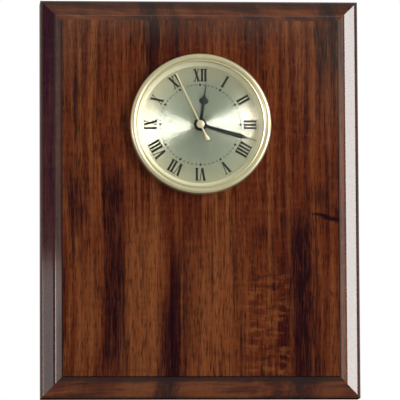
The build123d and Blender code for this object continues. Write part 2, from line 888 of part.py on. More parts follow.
# Contacts: bent strips that stand on the plate at each end of the battery
def contact_strip(inner_x, side):
    strip_low = battery_height - battery_radius / 2
    with BuildPart() as strip:
        with BuildSketch(level(plate_under)):
            with Locations((inner_x + side * contact_thick / 2, -battery_drop)):
                Rectangle(contact_thick, contact_width)
        extrude(amount=strip_low - plate_under)
        with BuildSketch(level(plate_under)):
            with Locations((inner_x + side * contact_foot / 2, -battery_drop)):
                Rectangle(contact_foot, contact_width)
        extrude(amount=-contact_thick)
    return strip


positive_contact = contact_strip(battery_length / 2, 1)
save(positive_contact, "positive_contact")
negative_contact = contact_strip(-battery_length / 2, -1)
save(negative_contact, "negative_contact")

# Setting knob: a notched disc on the arbor of the minute wheel
with BuildPart() as setting_knob:
    with BuildSketch(level(knob_top)):
        with Locations(knob_at):
            Circle(knob_radius)
            with PolarLocations(knob_radius, knob_notch_count):
                Circle(knob_notch_radius, mode=Mode.SUBTRACT)
    extrude(amount=-knob_thick)
    with BuildSketch(level(knob_top)):
        with Locations(knob_at):
            Circle(knob_arbor_radius + snug_fit)
    extrude(amount=-knob_thick, mode=Mode.SUBTRACT)
save(setting_knob, "setting_knob")
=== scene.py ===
import json
import math

import bpy
from mathutils import Matrix, Vector

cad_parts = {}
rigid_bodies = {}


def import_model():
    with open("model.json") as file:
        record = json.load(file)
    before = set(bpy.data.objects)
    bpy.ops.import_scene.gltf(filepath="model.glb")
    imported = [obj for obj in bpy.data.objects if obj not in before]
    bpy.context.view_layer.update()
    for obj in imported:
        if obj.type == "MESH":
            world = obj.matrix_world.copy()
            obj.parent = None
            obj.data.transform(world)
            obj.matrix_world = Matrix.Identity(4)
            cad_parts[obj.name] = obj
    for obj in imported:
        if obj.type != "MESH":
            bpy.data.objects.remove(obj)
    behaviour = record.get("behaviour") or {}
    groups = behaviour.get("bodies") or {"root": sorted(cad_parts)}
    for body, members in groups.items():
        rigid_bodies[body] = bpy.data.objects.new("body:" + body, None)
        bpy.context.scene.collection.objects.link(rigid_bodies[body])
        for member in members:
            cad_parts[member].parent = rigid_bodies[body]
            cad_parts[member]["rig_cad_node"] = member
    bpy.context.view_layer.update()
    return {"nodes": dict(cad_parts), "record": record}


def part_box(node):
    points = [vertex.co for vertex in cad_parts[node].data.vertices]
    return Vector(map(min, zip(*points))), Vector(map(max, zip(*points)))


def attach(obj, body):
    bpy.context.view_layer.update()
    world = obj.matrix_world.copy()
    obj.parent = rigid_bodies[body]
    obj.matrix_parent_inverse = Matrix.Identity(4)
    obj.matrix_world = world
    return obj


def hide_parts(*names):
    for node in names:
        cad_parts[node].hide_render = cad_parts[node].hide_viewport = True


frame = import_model()
nodes = frame["nodes"]
print("frame loaded,", len(nodes), "nodes")


# Places, all read from the frame

boardLow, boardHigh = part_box("plaque_board")
bezelLow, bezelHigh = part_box("bezel")
dialLow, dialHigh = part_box("dial")
ringLow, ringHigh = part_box("dial_ring")
lensLow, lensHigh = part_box("lens")
faceY = boardLow.y  # front of the board
dialY = dialLow.y  # front of the dial
clockCentre = Vector((0, faceY, (bezelLow.z + bezelHigh.z) / 2))
mm = 0.001


# Small helpers for modelling

tolerances = {
    "turned": 0.002 * mm,  # points of a turned piece nearer than this are one
    "copied": 0.001 * mm,
    "flat": 0.5,  # degrees between the faces of a copy that are one
    "level": 0.01 * mm,  # points nearer than this lie on one plane
    "forward": -0.9,  # the normal's Y of faces that look forward
    "smooth": 35,  # degrees between faces that shade as one
}


def clearSelection():
    if bpy.context.mode != "OBJECT":
        bpy.ops.object.mode_set(mode="OBJECT")
    bpy.ops.object.select_all(action="DESELECT")


def pick(*objects):
    clearSelection()
    for thing in objects:
        thing.select_set(True)
    bpy.context.view_layer.objects.active = objects[0]


def editAll():
    bpy.ops.object.mode_set(mode="EDIT")
    bpy.ops.mesh.select_all(action="SELECT")


def objectMode():
    bpy.ops.object.mode_set(mode="OBJECT")


def selectFaces(piece, test):
    # Selects the faces that pass the test on their centre and normal, and stays in edit mode
    bpy.ops.object.mode_set(mode="EDIT")
    bpy.ops.mesh.select_mode(type="FACE")
    bpy.ops.mesh.select_all(action="DESELECT")
    objectMode()
    for face in piece.data.polygons:
        face.select = test(face.center, face.normal)
    bpy.ops.object.mode_set(mode="EDIT")


def joinPieces(pieces):
    pick(*pieces)
    if len(pieces) > 1:
        bpy.ops.object.join()
    return bpy.context.active_object


def settle(piece):
    # Place, turn and scale go into the mesh
    pick(piece)
    bpy.ops.object.transform_apply(location=True, rotation=True, scale=True)


def addModifier(piece, kind, **values):
    pick(piece)
    modifier = piece.modifiers.new(kind.title(), kind)
    for name, value in values.items():
        setattr(modifier, name, value)
    bpy.ops.object.modifier_apply(modifier=modifier.name)


def softenEdges(piece, width, segments, angle):
    limit = math.radians(angle)
    addModifier(piece, "BEVEL", width=width, segments=segments, limit_method="ANGLE", angle_limit=limit)
    smooth(piece)


def smooth(piece, angle=tolerances["smooth"]):
    pick(piece)
    bpy.ops.object.shade_smooth_by_angle(angle=math.radians(angle))


def turn(name, outline, steps):
    # Spins an outline of (radius, height) points about the clock's axis; height grows towards the viewer
    clearSelection()
    bpy.ops.mesh.primitive_plane_add(size=mm, location=(0, 0, 0))
    piece = bpy.context.active_object
    piece.name = name
    editAll()
    bpy.ops.mesh.select_mode(type="VERT")
    bpy.ops.mesh.merge(type="CENTER")
    places = [clockCentre + Vector((radius, -height, 0)) for radius, height in outline]
    bpy.ops.transform.translate(value=places[0])
    for before, after in zip(places, places[1:]):
        bpy.ops.mesh.extrude_vertices_move(TRANSFORM_OT_translate={"value": after - before})
    bpy.ops.mesh.select_all(action="SELECT")
    bpy.ops.mesh.spin(steps=steps, angle=2 * math.pi, center=clockCentre, axis=(0, 1, 0))
    bpy.ops.mesh.select_all(action="SELECT")
    bpy.ops.mesh.remove_doubles(threshold=tolerances["turned"])
    bpy.ops.mesh.normals_make_consistent(inside=False)
    objectMode()
    return piece


def arc(centre, radius, start, sweep, steps):
    angles = [math.radians(start + sweep * step / steps) for step in range(steps + 1)]
    return [(centre[0] + radius * math.cos(angle), centre[1] + radius * math.sin(angle)) for angle in angles]


def copyNode(nodeName, name):
    pick(nodes[nodeName])
    bpy.ops.object.duplicate()
    piece = bpy.context.active_object
    piece.name = name
    del piece["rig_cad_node"]
    editAll()
    bpy.ops.mesh.remove_doubles(threshold=tolerances["copied"])
    bpy.ops.mesh.dissolve_limited(angle_limit=math.radians(tolerances["flat"]))
    objectMode()
    return piece


def place(piece, body, slotName, finish, *replaced):
    piece.data.materials.clear()
    piece.data.materials.append(finish)
    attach(piece, body)
    if replaced:
        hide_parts(*replaced)


# Small helpers for materials

def linear(red, green, blue):
    # A colour as it is seen on a screen, 0 to 255, made linear
    values = [channel / 255 for channel in (red, green, blue)]
    return [v / 12.92 if v <= 0.04045 else ((v + 0.055) / 1.055) ** 2.4 for v in values] + [1.0]


class Wire:
    # A socket, with sums written as Python
    def __init__(self, wiring, socket):
        self.wiring = wiring
        self.socket = socket

    def sum(self, operation, *values):
        return self.wiring.node("ShaderNodeMath", {"operation": operation}, dict(enumerate(values)))

    def __add__(self, other):
        return self.sum("ADD", self, other)

    def __radd__(self, other):
        return self.sum("ADD", other, self)

    def __sub__(self, other):
        return self.sum("SUBTRACT", self, other)

    def __rsub__(self, other):
        return self.sum("SUBTRACT", other, self)

    def __mul__(self, other):
        return self.sum("MULTIPLY", self, other)

    def __rmul__(self, other):
        return self.sum("MULTIPLY", other, self)

    def __truediv__(self, other):
        return self.sum("DIVIDE", self, other)

    def __pow__(self, other):
        return self.sum("POWER", self, other)

    def __abs__(self):
        return self.sum("ABSOLUTE", self)

    def wave(self):
        return self.sum("SINE", self)

    def most(self, other):
        return self.sum("MAXIMUM", self, other)


class Wiring:
    # The nodes of one tree, a material's or the world's
    def __init__(self, tree):
        self.tree = tree

    def node(self, kind, settings=None, sockets=None, output=0):
        made = self.tree.nodes.new(kind)
        for name, value in (settings or {}).items():
            setattr(made, name, value)
        for name, value in (sockets or {}).items():
            self.feed(made.inputs[name], value)
        return Wire(self, made.outputs[output])

    def feed(self, socket, value):
        if isinstance(value, Wire):
            self.tree.links.new(value.socket, socket)
        else:
            socket.default_value = value

    def split(self, vector):
        return [self.node("ShaderNodeSeparateXYZ", None, {0: vector}, output=axis) for axis in range(3)]

    def vector(self, x, y, z):
        return self.node("ShaderNodeCombineXYZ", None, {0: x, 1: y, 2: z})

    def noise(self, vector, detail=2.0, roughness=0.5):
        sockets = {"Vector": vector, "Scale": 1.0, "Detail": detail, "Roughness": roughness}
        return self.node("ShaderNodeTexNoise", None, sockets)

    def ease(self, value, low, high, toLow=0.0, toHigh=1.0):
        sockets = {"Value": value, "From Min": low, "From Max": high, "To Min": toLow, "To Max": toHigh}
        return self.node("ShaderNodeMapRange", {"interpolation_type": "SMOOTHSTEP"}, sockets)

    def mix(self, factor, first, second):
        # Sockets 6 and 7 and output 2 are the ones for colours
        return self.node("ShaderNodeMix", {"data_type": "RGBA"}, {0: factor, 6: first, 7: second}, output=2)

    def blend(self, factor, first, second):
        return self.node("ShaderNodeMixShader", None, {0: factor, 1: first, 2: second})

    def show(self, output, shader):
        self.feed(self.tree.nodes[output].inputs["Surface"], shader)


class Finish(Wiring):
    # A material under construction
    def __init__(self, name, **constants):
        self.material = bpy.data.materials.new(name)
        self.material.use_nodes = True
        super().__init__(self.material.node_tree)
        self.shader = self.tree.nodes["Principled BSDF"]
        for socket, value in constants.items():
            self.shader.inputs[socket.replace("_", " ")].default_value = value

    def set(self, socket, value):
        self.feed(self.shader.inputs[socket], value)

    def axes(self, middle=(0, 0, 0)):
        spot = self.node("ShaderNodeTexCoord", output="Object")
        shift = [-value for value in middle]
        return self.split(self.node("ShaderNodeMapping", None, {"Vector": spot, "Location": shift}))

    def mottle(self, scale, detail):
        x, y, z = self.axes()
        return self.noise(self.vector(x * scale[0], y * scale[1], z * scale[2]), detail)

    def bump(self, height, strength, distance):
        sockets = {"Height": height, "Strength": strength, "Distance": distance}
        self.set("Normal", self.node("ShaderNodeBump", None, sockets))


# Walnut: grain runs up the board, and all lengths are in metres

walnut = {
    "brown": linear(93, 41, 19),
    "red": linear(77, 28, 12),
    "tan": linear(130, 75, 41),
    "dark": linear(28, 7, 12),
    "pore": linear(22, 6, 5),
    "slant": 0.55,  # how far the grain shifts sideways with depth
    "drift": {"scale": (8, 8, 4), "detail": 2.0, "reach": 0.010},
    # noises: scale across, in depth and up, detail, roughness
    "noises": {
        "broad": (45, 20, 2.6, 3.0, 0.55),
        "band": (150, 60, 3.4, 3.0, 0.6),
        "line": (480, 200, 15, 2.0, 0.5),
        "fibre": (1250, 600, 95, 2.0, 0.6),
        "ripple": (105, 60, 320, 2.0, 0.5),
        "pore": (1700, 900, 170, 1.0, 0.5),
    },
    "brownFrom": (0.36, 0.62),  # of the broad noise, from red to brown
    # tints: noise, from, to, colour, strength
    "bandTints": (("band", 0.50, 0.74, "tan", 0.75), ("band", 0.47, 0.24, "dark", 0.70)),
    "lineTints": (("line", 0.52, 0.72, "tan", 0.40), ("line", 0.48, 0.28, "dark", 0.55)),
    "ringTints": (("ring", 0.50, 0.70, "tan", 0.45), ("ring", 0.48, 0.30, "dark", 0.70)),
    "fibreTints": (("fibre", 0.52, 0.30, "pore", 0.62),),
    "pores": {"from": 0.60, "to": 0.70, "strength": 0.55},
    # dark streaks: across, lean, half width, from, to, strength
    "streaks": (
        (-0.0575, 0.01, 0.0052, 0.000, 0.160, 0.92),
        (-0.0520, 0.00, 0.0045, 0.112, 0.148, 0.60),
        (-0.0312, 0.00, 0.0008, 0.035, 0.120, 0.70),
        (-0.0165, 0.00, 0.0040, -0.02, 0.106, 0.85),
        (-0.0215, 0.00, 0.0056, -0.02, 0.076, 0.90),
        (0.0655, -0.03, 0.0080, -0.02, 0.131, 0.95),
        (-0.0805, -0.06, 0.0052, 0.096, 0.156, 0.92),
        (-0.0825, 0.00, 0.0014, 0.070, 0.120, 0.80),
        (-0.0780, 0.00, 0.0030, 0.145, 0.220, 0.70),
        (-0.0304, 0.00, 0.0062, 0.200, 0.300, 0.95),
        (-0.0335, 0.00, 0.0032, 0.178, 0.245, 0.85),
        (0.0350, 0.00, 0.0042, 0.200, 0.300, 0.60),
        (0.0836, 0.05, 0.0054, 0.186, 0.275, 1.00),
        (0.0770, 0.00, 0.0060, 0.116, 0.140, 0.65),
        (0.0405, 0.00, 0.0052, 0.090, 0.118, 0.60),
        (0.0865, 0.00, 0.0022, 0.108, 0.124, 0.95),
        (-0.0160, 0.00, 0.0030, 0.196, 0.300, 0.70),
    ),
    # pale stretches, written alike
    "glows": (
        (-0.0370, 0.02, 0.0110, -0.02, 0.125, 0.60),
        (0.0080, 0.00, 0.0160, -0.02, 0.112, 0.40),
        (-0.0720, 0.00, 0.0060, 0.010, 0.100, 0.36),
        (0.0880, 0.00, 0.0060, -0.02, 0.095, 0.28),
    ),
    "ragged": {"line": 0.006, "band": 0.007, "fibre": 0.004},  # reach of each noise at a patch's sides
    # a patch's soft sides, as shares of its half width, and its soft ends, as a length or a share of its own
    "patch": {"outer": 1.7, "inner": 0.4, "fade": 0.03, "fadeShare": 0.45},
    "gaps": (("band", 0.75, 0.35, 0.70), ("fibre", 0.66, 0.44, 0.62)),  # noise, from, to, least of a streak
    # where the cross ripple is strong, and its tints: colour, from, to, strength there and elsewhere
    "figure": {"across": 0.042, "half": 0.020, "core": 0.008, "top": 0.098, "fade": 0.03},
    "rippleTints": (("tan", 0.50, 0.72, 0.45, 0.14), ("dark", 0.48, 0.28, 0.40, 0.16)),
    # a short dark line at the right, which swells along its length
    "flaw": {"from": 0.066, "to": 0.0885, "height": 0.1185, "lean": -0.25, "half": 0.0025},
    "flawShape": {"thin": 0.5, "swell": 0.6, "fade": 0.3, "waver": 0.004, "stop": 0.0005},
    # painted shade along the moulding: a dark line at the quirk, and the bottom band and the side and top
    # coves darker where they lie in shade: edge, inset from and to, softness, depth, strength
    "paintedShade": (
        ("side", 0.0125, 0.0136, 0.0004, 0.0026, 0.80),
        ("foot", 0.0105, 0.0135, 0.0005, 0.0026, 0.80),
        ("side", -0.001, 0.0088, 0.0006, 0.0074, 0.50),
        ("head", -0.001, 0.0045, 0.0020, 0.0074, 0.60),
    ),
    "stripEnds": {"mitre": 0.0003, "depth": 0.0005},  # how soft a strip's ends are
    "endStrip": (-0.001, 0.0130, 0.0004, 0.0074),  # the moulding across the grain, written alike
    "endCover": 0.75,  # how much of the long grain the end grain hides
    "rings": {"across": 22, "deep": 640, "lean": 0.02, "drift": 0.004, "detail": 3.0, "roughness": 0.55},
    "coat": {"from": 0.0072, "to": 0.0085, "behind": 0.06},  # lacquer on the front, sealed sides and back
    "relief": {"fibre": 0.35, "pores": 0.6, "strength": 0.12, "distance": 0.0003},
}


def grainPatch(finish, across, z, spread, middle, lean, half, low, high, strength):
    # A long patch along the grain, with ragged sides and faded ends
    shape = walnut["patch"]
    offset = abs(across - middle - (z - (low + high) / 2) * lean)
    fade = min(shape["fade"], (high - low) * shape["fadeShare"])
    length = finish.ease(z, low, low + fade) * finish.ease(z, high, high - fade)
    return finish.ease(offset + spread, half * shape["outer"], half * shape["inner"]) * length * strength


def edgeInsets(x, z):
    # How far in from each edge of the board
    return {"side": boardHigh.x - abs(x), "foot": z - boardLow.z, "head": boardHigh.z - z}


def edgeStrip(finish, insets, y, edge, low, high, soft, deep):
    # A strip along one edge, which stops at the mitres and at a depth
    ends = walnut["stripEnds"]
    inset = insets[edge]
    share = finish.ease(inset, low - soft, low) * finish.ease(inset, high + soft, high)
    for other in ("foot", "head") if edge == "side" else ("side",):
        share = share * finish.ease(insets[other] - inset, -ends["mitre"], ends["mitre"])
    return share * finish.ease(y, faceY + deep + ends["depth"], faceY + deep)


def tint(finish, colour, grain, share, tints):
    for noise, low, high, name, strength in tints:
        factor = finish.ease(grain[noise], low, high) * share * strength
        colour = finish.mix(factor, colour, walnut[name])
    return colour


def figureTint(finish, colour, across, z, ripple):
    figure = walnut["figure"]
    offset = abs(across - figure["across"])
    figured = finish.ease(offset, figure["half"], figure["core"])
    figured = figured * finish.ease(z, figure["top"], figure["top"] - figure["fade"])
    for name, low, high, there, elsewhere in walnut["rippleTints"]:
        factor = finish.ease(ripple, low, high) * (figured * there + elsewhere)
        colour = finish.mix(factor, colour, walnut[name])
    return colour


def flawTint(finish, colour, x, z, ripple):
    flaw = walnut["flaw"]
    shape = walnut["flawShape"]
    share = finish.ease(x, flaw["from"], flaw["to"])
    level = z - flaw["height"] - (x - flaw["from"]) * flaw["lean"] + (ripple - 0.5) * shape["waver"]
    length = finish.ease(share, 0.0, shape["fade"]) * finish.ease(x, flaw["to"] + shape["stop"], flaw["to"])
    width = share * shape["swell"] + shape["thin"]
    factor = finish.ease(abs(level) / width, flaw["half"], 0.0) * length
    return finish.mix(factor, colour, walnut["dark"])


# Painted shade: darkens the moulding's quirk, bottom band and side and top coves towards the wood's dark
# colour
def paintedShadeTint(finish, colour, insets, y):
    for *strip, strength in walnut["paintedShade"]:
        colour = finish.mix(edgeStrip(finish, insets, y, *strip) * strength, colour, walnut["dark"])
    return colour


def walnutFinish():
    finish = Finish("walnut_lacquered", Roughness=0.5, Specular_IOR_Level=0.0, Coat_Roughness=0.07)
    x, y, z = finish.axes()
    insets = edgeInsets(x, z)
    drift = finish.mottle(walnut["drift"]["scale"], walnut["drift"]["detail"]) - 0.5
    across = x + (y - faceY) * walnut["slant"] + drift * walnut["drift"]["reach"]
    grain = {}
    for name, (wide, deep, tall, detail, roughness) in walnut["noises"].items():
        grain[name] = finish.noise(finish.vector(across * wide, y * deep, z * tall), detail, roughness)
    rings = walnut["rings"]
    ringDepth = (y + x * rings["lean"] + drift * rings["drift"]) * rings["deep"]
    ringSpot = finish.vector(x * rings["across"], ringDepth, 0.0)
    grain["ring"] = finish.noise(ringSpot, rings["detail"], rings["roughness"])
    end = sum(edgeStrip(finish, insets, y, edge, *walnut["endStrip"]) for edge in ("foot", "head"))
    along = 1 - end * walnut["endCover"]
    spread = sum((grain[name] - 0.5) * reach for name, reach in walnut["ragged"].items())
    broken = 1
    for name, low, high, least in walnut["gaps"]:
        broken = broken * finish.ease(grain[name], low, high, least)

    colour = finish.mix(finish.ease(grain["broad"], *walnut["brownFrom"]), walnut["red"], walnut["brown"])
    colour = tint(finish, colour, grain, along, walnut["bandTints"])
    for patch in walnut["glows"]:
        colour = finish.mix(grainPatch(finish, across, z, spread, *patch), colour, walnut["tan"])
    colour = tint(finish, colour, grain, along, walnut["lineTints"])
    colour = tint(finish, colour, grain, end, walnut["ringTints"])
    colour = figureTint(finish, colour, across, z, grain["ripple"])
    for patch in walnut["streaks"]:
        factor = grainPatch(finish, across, z, spread, *patch) * broken
        colour = finish.mix(factor, colour, walnut["dark"])
    colour = flawTint(finish, colour, x, z, grain["ripple"])
    # painted shade on the moulding's quirk, bottom band and coves
    colour = paintedShadeTint(finish, colour, insets, y)
    colour = tint(finish, colour, grain, along, walnut["fibreTints"])
    pores = finish.ease(grain["pore"], walnut["pores"]["from"], walnut["pores"]["to"]) * along
    colour = finish.mix(pores * walnut["pores"]["strength"], colour, walnut["pore"])
    finish.set("Base Color", colour)

    coat = walnut["coat"]
    finish.set("Coat Weight", finish.ease(y, faceY + coat["from"], faceY + coat["to"], 1.0, coat["behind"]))
    relief = walnut["relief"]
    height = grain["fibre"] * relief["fibre"] - pores * relief["pores"]
    finish.bump(height, relief["strength"], relief["distance"])
    return finish.material


# Metals, paint and plastics

surfaces = {
    # scales of the noises across, in depth and up
    "goldScale": (60, 60, 60),
    "paintScale": (900, 900, 900),
    "printScale": (1800, 1800, 1800),
    "metalScale": (60, 60, 900),
    "wireScale": (2400, 60, 60),
    "plasticScale": (45, 45, 45),
    "mouldedScale": (1400, 1400, 1400),
    "cloudDetail": 3.0,
    "speckDetail": 2.0,
    "roughFrom": (0.3, 0.7),  # of the noise, over which the roughness changes
    "metalRelief": (0.08, 0.05 * mm),  # strength and distance
    "plasticRelief": (0.25, 0.05 * mm),
}


def mottledFinish(name, dark, light, rough, scale, detail, **constants):
    # Colour and roughness that follow one noise, which is given back too
    finish = Finish(name, **constants)
    mottle = finish.mottle(scale, detail)
    finish.set("Base Color", finish.mix(mottle, dark, light))
    finish.set("Roughness", finish.ease(mottle, *surfaces["roughFrom"], *rough))
    return finish, mottle


def goldFinish(*look, metallic=1.0):
    finish, _ = mottledFinish(*look, surfaces["goldScale"], surfaces["cloudDetail"], Metallic=metallic)
    return finish.material


def inkFinish(*look, scale, shine):
    finish, _ = mottledFinish(*look, scale, surfaces["speckDetail"], Specular_IOR_Level=shine)
    return finish.material


def metalFinish(*look, scale=surfaces["metalScale"]):
    finish, brushed = mottledFinish(*look, scale, surfaces["cloudDetail"], Metallic=1.0)
    finish.bump(brushed, *surfaces["metalRelief"])
    return finish.material


def plasticFinish(*look):
    finish, _ = mottledFinish(*look, surfaces["plasticScale"], surfaces["cloudDetail"])
    texture = finish.mottle(surfaces["mouldedScale"], surfaces["speckDetail"])
    finish.bump(texture, *surfaces["plasticRelief"])
    return finish.material


dialLook = {
    "inner": linear(202, 205, 196),
    "outer": linear(231, 222, 203),
    "outerFrom": (19 * mm, 38 * mm),  # radius over which the colour changes
    "roughness": 0.21,
    "groove": 0.12 * mm,
    "slope": 0.9,
    "unevenScale": 2600,
    "unevenPhase": 9,
    "unevenReach": 4 * mm,
}


def dialFinish():
    # Spun metal: fine grooves round the centre, whose sides tilt the surface in and out
    finish = Finish("dial_spun_metal", Metallic=1.0, Roughness=dialLook["roughness"])
    x, _, z = finish.axes(clockCentre)
    radius = (x * x + z * z) ** 0.5
    uneven = finish.noise(finish.vector(radius * dialLook["unevenScale"], 0.0, 0.0))
    phase = radius * (2 * math.pi / dialLook["groove"]) + uneven * dialLook["unevenPhase"]
    tilt = phase.wave() * dialLook["slope"] / radius
    normal = finish.vector(x * tilt, -1.0, z * tilt)
    finish.set("Normal", finish.node("ShaderNodeVectorMath", {"operation": "NORMALIZE"}, {0: normal}))
    share = finish.ease(radius + (uneven - 0.5) * dialLook["unevenReach"], *dialLook["outerFrom"])
    finish.set("Base Color", finish.mix(share, dialLook["inner"], dialLook["outer"]))
    return finish.material


crystalLook = {"tint": (0.99, 1.0, 0.99, 1.0), "gloss": (1.0, 1.0, 1.0, 1.0), "roughness": 0.02, "ior": 1.45}


def crystalFinish():
    # Clear crystal: see-through, with a reflection that grows at the rim of the view
    look = crystalLook
    finish = Finish("crystal_clear")
    clear = finish.node("ShaderNodeBsdfTransparent", None, {"Color": look["tint"]})
    sockets = {"Color": look["gloss"], "Roughness": look["roughness"]}
    gloss = finish.node("ShaderNodeBsdfGlossy", None, sockets)
    away = finish.node("ShaderNodeNewGeometry", output="Backfacing")
    shine = finish.node("ShaderNodeFresnel", None, {"IOR": look["ior"]}) * (1 - away)
    finish.tree.nodes.remove(finish.shader)
    finish.show("Material Output", finish.blend(shine, clear, gloss))
    return finish.material


# each look: name, dark colour, light colour, roughness from and to
polishedLook = ("gold_plate_polished", linear(230, 215, 180), linear(240, 226, 194), (0.29, 0.35))
satinLook = ("gold_plate_satin", linear(232, 223, 198), linear(240, 231, 207), (0.40, 0.48))
handLook = ("gold_plate_hand", linear(250, 228, 198), linear(252, 234, 208), (0.34, 0.40))
paintLook = ("hand_black_paint", linear(13, 14, 14), linear(24, 25, 25), (0.30, 0.42))
printLook = ("dial_print_black", linear(10, 10, 9), linear(24, 23, 21), (0.45, 0.6))
wireLook = ("coil_copper_wire", linear(184, 96, 52), linear(206, 122, 70), (0.25, 0.38))
metalLooks = {
    "gear_brass": ("gear_brass_stamped", linear(196, 158, 82), linear(214, 178, 100), (0.22, 0.36)),
    "steel": ("steel_plain", linear(168, 168, 170), linear(192, 192, 194), (0.25, 0.40)),
}
plasticLooks = {
    "black_plastic": ("case_black_plastic", linear(22, 22, 23), linear(34, 34, 35), (0.42, 0.58)),
    "band_plastic": ("band_soft_plastic", linear(58, 57, 55), linear(74, 73, 70), (0.55, 0.7)),
    "plate_plastic": ("plate_natural_plastic", linear(206, 202, 190), linear(222, 218, 206), (0.4, 0.5)),
    "gear_plastic": ("gear_ivory_plastic", linear(226, 219, 196), linear(238, 232, 212), (0.32, 0.42)),
    "magnet": ("magnet_sintered", linear(46, 46, 48), linear(62, 62, 64), (0.5, 0.65)),
    "circuit": ("circuit_green", linear(24, 74, 42), linear(34, 92, 54), (0.3, 0.4)),
    "cell_wrap": ("cell_plain_sleeve", linear(40, 46, 92), linear(52, 60, 112), (0.25, 0.35)),
}
finishes = {
    "walnut": walnutFinish(),
    "gold_metal": goldFinish(*polishedLook),
    "crystal": crystalFinish(),
    "dial_metal": dialFinish(),
    "black_paint": inkFinish(*paintLook, scale=surfaces["paintScale"], shine=0.3),
    "copper": metalFinish(*wireLook, scale=surfaces["wireScale"]),
}
for slotName, look in metalLooks.items():
    finishes[slotName] = metalFinish(*look)
for slotName, look in plasticLooks.items():
    finishes[slotName] = plasticFinish(*look)
printedBlack = inkFinish(*printLook, scale=surfaces["printScale"], shine=0.2)
satinGold = goldFinish(*satinLook, metallic=0.4)
handGold = goldFinish(*handLook)
for part in frame["record"]["subparts"]:
    nodeMesh = nodes[part["node"]].data
    nodeMesh.materials.clear()
    nodeMesh.materials.append(finishes[part["material_slot"]])
print("finishes made")


# Board: a block whose face is inset step by step into the moulding, then bored

boardShape = {
    "mouldWidth": 13.2 * mm,
    "mouldDepth": 7.0 * mm,
    "arris": (1.9 * mm, 1.6 * mm),
    "arrisBulge": 0.35 * mm,
    "arrisSteps": 5,
    "fillet": (0.35 * mm, 0.4 * mm),
    "band": (3.0 * mm, 0.6 * mm),
    "quirk": (0.12 * mm, 1.2 * mm),
    "coveStart": 0.86,  # slope of the cove at its outer end, as a share of its mean slope
    "covePower": 6,  # how late the cove steepens
    "coveSteps": 12,
    "boreSides": 160,
    "boreFit": 0.05 * mm,
    "edgeRound": 0.12 * mm,
    "roundSegments": 3,
    "roundAngle": 60,
    "smoothAngle": 13,  # keeps the mitres crisp
}


def insetSteps(run, rise, shape, count):
    # Insets along a curve, whose height is a share of the rise at each share of the run
    heights = [rise * shape(step / count) for step in range(count + 1)]
    return [(run / count, after - before) for before, after in zip(heights, heights[1:])]


def mouldingSteps():
    # From the board's side inwards: a round arris, a hollow that steepens, a fillet, a band and a quirk
    shape = boardShape
    flats = [shape["fillet"], shape["band"], shape["quirk"]]
    run = shape["mouldWidth"] - shape["arris"][0] - sum(flat[0] for flat in flats)
    rise = shape["mouldDepth"] - shape["arris"][1] - sum(flat[1] for flat in flats)
    bulge = shape["arrisBulge"] / shape["arris"][1] * 4  # share * (1 - share) is a quarter at most
    start = shape["coveStart"]
    power = shape["covePower"]

    def arris(share):
        return share + bulge * share * (1 - share)

    def cove(share):
        return start * share + (1 - start) * share**power

    steps = insetSteps(*shape["arris"], arris, shape["arrisSteps"])
    steps += insetSteps(run, rise, cove, shape["coveSteps"])
    return steps + flats


def cutBy(piece, cutter):
    addModifier(piece, "BOOLEAN", operation="DIFFERENCE", solver="EXACT", object=cutter)
    pick(cutter)
    bpy.ops.object.delete()


def boardPiece():
    shape = boardShape
    size = boardHigh - boardLow
    clearSelection()
    middle = (boardLow + boardHigh) / 2 + Vector((0, shape["mouldDepth"] / 2, 0))
    block = (size.x, size.y - shape["mouldDepth"], size.z)
    bpy.ops.mesh.primitive_cube_add(size=1, location=middle, scale=block)
    piece = bpy.context.active_object
    piece.name = "plaque_walnut"
    settle(piece)
    selectFaces(piece, lambda centre, normal: normal.y < tolerances["forward"])
    for run, rise in mouldingSteps():
        bpy.ops.mesh.inset(thickness=run, depth=rise)
    objectMode()
    boreRadius = (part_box("friction_band")[1].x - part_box("friction_band")[0].x) / 2
    clearSelection()
    bpy.ops.mesh.primitive_cylinder_add(
        vertices=shape["boreSides"],
        radius=boreRadius + shape["boreFit"],
        depth=size.y * 2,
        location=(clockCentre.x, 0, clockCentre.z),
        rotation=(math.pi / 2, 0, 0),
    )
    cutBy(piece, bpy.context.active_object)
    keyholeCuts(piece)
    softenEdges(piece, shape["edgeRound"], shape["roundSegments"], shape["roundAngle"])
    smooth(piece, shape["smoothAngle"])
    place(piece, "plaque", "walnut", finishes["walnut"], "plaque_board")


keyhole = {
    "drop": 28 * mm,
    "radius": 4.75 * mm,
    "slot": 4.8 * mm,
    "rise": 13 * mm,
    "lip": 4.5 * mm,
    "depth": 9.5 * mm,
    "spare": 2 * mm,  # how far the cutters stand out of the back
    "sides": 48,
}


def keyholeCuts(piece):
    back = boardHigh.y
    entryZ = boardHigh.z - keyhole["drop"]
    neck = (back - keyhole["depth"], back + keyhole["spare"])
    head = (back - keyhole["depth"], back - keyhole["lip"])
    for centreZ, radius, span in (
        (entryZ, keyhole["radius"], neck),
        (entryZ + keyhole["rise"], keyhole["slot"] / 2, neck),
        (entryZ + keyhole["rise"], keyhole["radius"], head),
    ):
        clearSelection()
        bpy.ops.mesh.primitive_cylinder_add(
            vertices=keyhole["sides"],
            radius=radius,
            depth=span[1] - span[0],
            location=(0, (span[0] + span[1]) / 2, centreZ),
            rotation=(math.pi / 2, 0, 0),
        )
        cutBy(piece, bpy.context.active_object)
    for width, span in ((keyhole["slot"], neck), (2 * keyhole["radius"], head)):
        clearSelection()
        bpy.ops.mesh.primitive_cube_add(
            size=1,
            location=(0, (span[0] + span[1]) / 2, entryZ + keyhole["rise"] / 2),
            scale=(width, span[1] - span[0], keyhole["rise"]),
        )
        settle(bpy.context.active_object)
        cutBy(piece, bpy.context.active_object)


boardPiece()
print("board made")


# Bezel and reflector ring, turned

